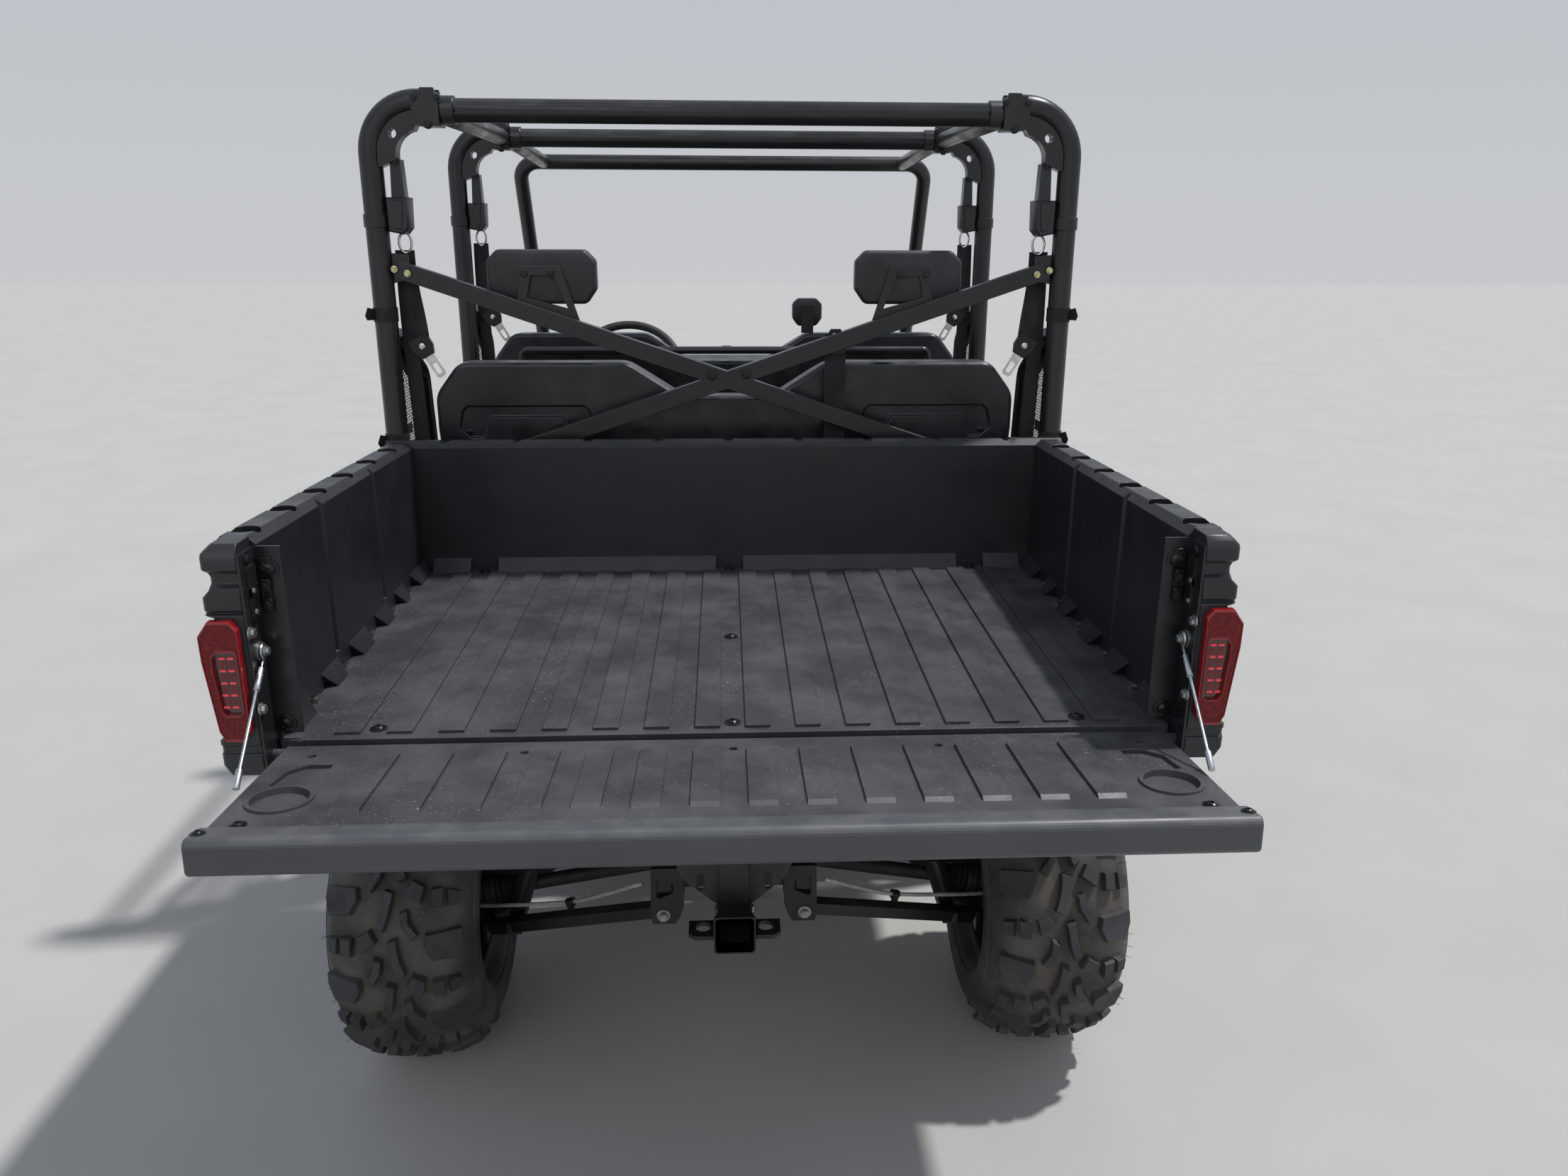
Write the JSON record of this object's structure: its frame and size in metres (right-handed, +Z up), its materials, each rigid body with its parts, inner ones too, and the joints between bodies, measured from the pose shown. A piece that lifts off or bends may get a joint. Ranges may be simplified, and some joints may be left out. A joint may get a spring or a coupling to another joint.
{
  "type": "side by side utility vehicle",
  "caption": "Two-row open utility vehicle with a roll cage, two benches, block-tread tyres and a tilting dump bed whose tailgate lies lowered on steel cables.",
  "frame": {"origin": "middle of the vehicle's footprint, on the ground", "axes": "+Y forward, +X to the vehicle's right, +Z up"},
  "size_m": [1.59, 4.203, 1.925],
  "materials": {
    "black_steel": "satin black powder coat",
    "charcoal_plastic": "moulded, fine grain, dusty",
    "dusty_plastic": "moulded, worn and coated with dry dust",
    "seat_vinyl": "grained vinyl cover",
    "webbing": "woven black webbing and mesh",
    "red_lens": "clear red lens",
    "clear_lens": "clear lens over a reflector",
    "cast_metal": "cast, dusty",
    "brushed_metal": "bare steel",
    "boot_rubber": "ribbed rubber boots on steel shafts",
    "spring_steel": "black enamel",
    "chrome_rod": "polished",
    "wire_rope": "stranded steel cable",
    "tyre": "dusty rubber with block tread",
    "rim_steel": "black painted steel"
  },
  "bodies": {
    "chassis": {"frame": "black_steel", "hitch": "black_steel", "cage_rear_hoop": "black_steel", "cage_mid_hoop": "black_steel", "cage_front_hoop": "black_steel", "cage_roof_rails": "black_steel", "cage_cross_braces": "black_steel", "side_guards": "black_steel", "side_nets": "webbing", "seat_belts": "webbing", "rear_seat_back": "seat_vinyl", "front_seat_back": "seat_vinyl", "rear_seat_base": "seat_vinyl", "front_seat_base": "seat_vinyl", "headrests": "seat_vinyl", "headrest_brackets": "black_steel", "rear_grab_bar": "black_steel", "cab_floor": "charcoal_plastic", "side_panels": "charcoal_plastic", "dash": "charcoal_plastic", "front_fenders": "charcoal_plastic", "front_fascia": "charcoal_plastic", "headlights": "clear_lens", "engine": "cast_metal", "silencer": "brushed_metal", "gear_cases": "cast_metal", "drive_shafts": "boot_rubber", "rear_arms": "black_steel", "front_arms": "black_steel", "shocks": "spring_steel", "rear_knuckles": "cast_metal"},
    "cargo_box": {"bed_floor": "dusty_plastic", "bed_side_left": "charcoal_plastic", "bed_side_right": "charcoal_plastic", "bed_front_wall": "charcoal_plastic", "bed_corner_posts": "charcoal_plastic", "tail_lights": "red_lens", "gate_brackets": "black_steel", "bed_subframe": "black_steel"},
    "tailgate": {"tailgate_panel": "charcoal_plastic", "tailgate_cap": "charcoal_plastic", "tailgate_cables": "wire_rope"},
    "damper_tube": {"damper_tube": "black_steel"},
    "damper_rod": {"damper_rod": "chrome_rod"},
    "knuckle_left": {"front_knuckle_left": "cast_metal"},
    "knuckle_right": {"front_knuckle_right": "cast_metal"},
    "wheel_front_left": {"front_tyre_left": "tyre", "front_rim_left": "rim_steel"},
    "wheel_front_right": {"front_tyre_right": "tyre", "front_rim_right": "rim_steel"},
    "wheel_rear_left": {"rear_tyre_left": "tyre", "rear_rim_left": "rim_steel"},
    "wheel_rear_right": {"rear_tyre_right": "tyre", "rear_rim_right": "rim_steel"},
    "steering_wheel": {"steering_wheel": "charcoal_plastic"},
    "steering_rack": {"steering_rack": "brushed_metal"},
    "hood": {"hood": "charcoal_plastic"}
  },
  "joints": [
    {"name": "bed_tilt", "type": "hinge", "parent": "chassis", "child": "cargo_box", "pos_m": [0, -1.66342, 0.772], "axis": [1, 0, 0], "range_deg": [0, 48]},
    {"name": "tailgate_fold", "type": "hinge", "parent": "cargo_box", "child": "tailgate", "pos_m": [0, -1.75342, 0.856], "axis": [-1, 0, 0], "range_deg": [0, 86], "deforming": ["tailgate_cables"]},
    {"name": "steer_left", "type": "hinge", "parent": "chassis", "child": "knuckle_left", "pos_m": [-0.566, 1.57158, 0.3175], "axis": [0, 0, 1], "range_deg": [-28, 28]},
    {"name": "steer_right", "type": "hinge", "parent": "chassis", "child": "knuckle_right", "pos_m": [0.566, 1.57158, 0.3175], "axis": [0, 0, 1], "range_deg": [-28, 28]},
    {"name": "spin_front_left", "type": "hinge", "parent": "knuckle_left", "child": "wheel_front_left", "pos_m": [-0.64, 1.57158, 0.3175], "axis": [1, 0, 0], "continuous": true},
    {"name": "spin_front_right", "type": "hinge", "parent": "knuckle_right", "child": "wheel_front_right", "pos_m": [0.64, 1.57158, 0.3175], "axis": [1, 0, 0], "continuous": true},
    {"name": "spin_rear_left", "type": "hinge", "parent": "chassis", "child": "wheel_rear_left", "pos_m": [-0.627, -1.29842, 0.3175], "axis": [1, 0, 0], "continuous": true},
    {"name": "spin_rear_right", "type": "hinge", "parent": "chassis", "child": "wheel_rear_right", "pos_m": [0.627, -1.29842, 0.3175], "axis": [1, 0, 0], "continuous": true},
    {"name": "steering_turn", "type": "hinge", "parent": "chassis", "child": "steering_wheel", "pos_m": [-0.34, 0.62258, 1.168], "axis": [0, -0.788, 0.6157], "range_deg": [-272, 272]},
    {"name": "rack_slide", "type": "slide", "parent": "chassis", "child": "steering_rack", "axis": [1, 0, 0], "range_m": [-0.045, 0.045]},
    {"name": "hood_lift", "type": "hinge", "parent": "chassis", "child": "hood", "pos_m": [0, 1.35258, 1.1], "axis": [1, 0, 0], "range_deg": [0, 60]},
    {"name": "damper_swing", "type": "hinge", "parent": "chassis", "child": "damper_tube", "pos_m": [-0.12, -1.03342, 0.48], "axis": [1, 0, 0], "range_deg": [-8, 0]},
    {"name": "damper_extend", "type": "slide", "parent": "damper_tube", "child": "damper_rod", "axis": [0, -0.7444, 0.6678], "range_m": [0, 0.23]}
  ],
  "couplings": [
    {"joint": "steer_right", "follows": "steer_left", "ratio": 1},
    {"joint": "steering_turn", "follows": "steer_left", "ratio": 9.6429},
    {"joint": "rack_slide", "follows": "steer_left", "m_per_rad": -0.09},
    {"joint": "damper_swing", "follows": "bed_tilt", "ratio": -0.15217},
    {"joint": "damper_extend", "follows": "bed_tilt", "m_per_rad": 0.2688}
  ]
}
